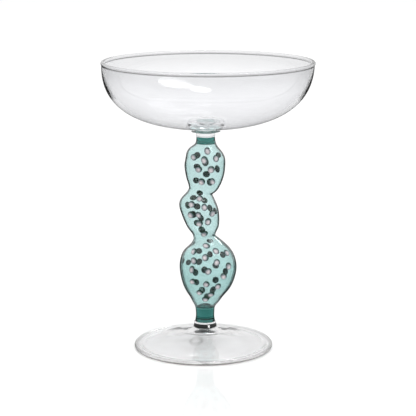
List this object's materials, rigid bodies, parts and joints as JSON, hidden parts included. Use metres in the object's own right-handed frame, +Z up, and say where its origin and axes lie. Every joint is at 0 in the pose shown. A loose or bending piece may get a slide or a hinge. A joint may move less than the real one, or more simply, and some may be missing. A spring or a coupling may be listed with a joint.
{
  "type": "martini glass",
  "caption": "Stemmed cocktail glass: clear saucer bowl and disc foot on a teal stem blown as stacked cactus pads with raised dots.",
  "frame": {"origin": "centre of the ring that the foot rests on, on the surface it stands on", "axes": "+Z up along the stem; the stem's small sideways lean is along X; +Y is the back, and the front dots face -Y"},
  "size_m": [0.11, 0.11, 0.1515],
  "materials": {
    "clear_glass": "clear fire-polished borosilicate glass",
    "bowl_glass": "clear thin blown borosilicate glass, fire-polished rim",
    "teal_pad_glass": "transparent teal blown glass, thin wall, glossy",
    "teal_solid_glass": "transparent dark teal solid glass, glossy",
    "dot_glass": "dark green glass dot, fire-polished, glossy"
  },
  "bodies": {
    "root": {"foot": "clear_glass", "foot_weld_ring": "teal_solid_glass", "foot_collar": "clear_glass", "lower_neck": "teal_solid_glass", "lower_pad": "teal_pad_glass", "lower_pad_front_dots": "dot_glass", "lower_pad_back_dots": "dot_glass", "middle_pad": "teal_pad_glass", "middle_pad_front_dots": "dot_glass", "middle_pad_back_dots": "dot_glass", "upper_pad": "teal_pad_glass", "upper_pad_front_dots": "dot_glass", "upper_pad_back_dots": "dot_glass", "upper_neck": "teal_solid_glass", "bowl_collar": "clear_glass", "bowl_weld_disc": "teal_solid_glass", "bowl": "bowl_glass"}
  },
  "joints": []
}
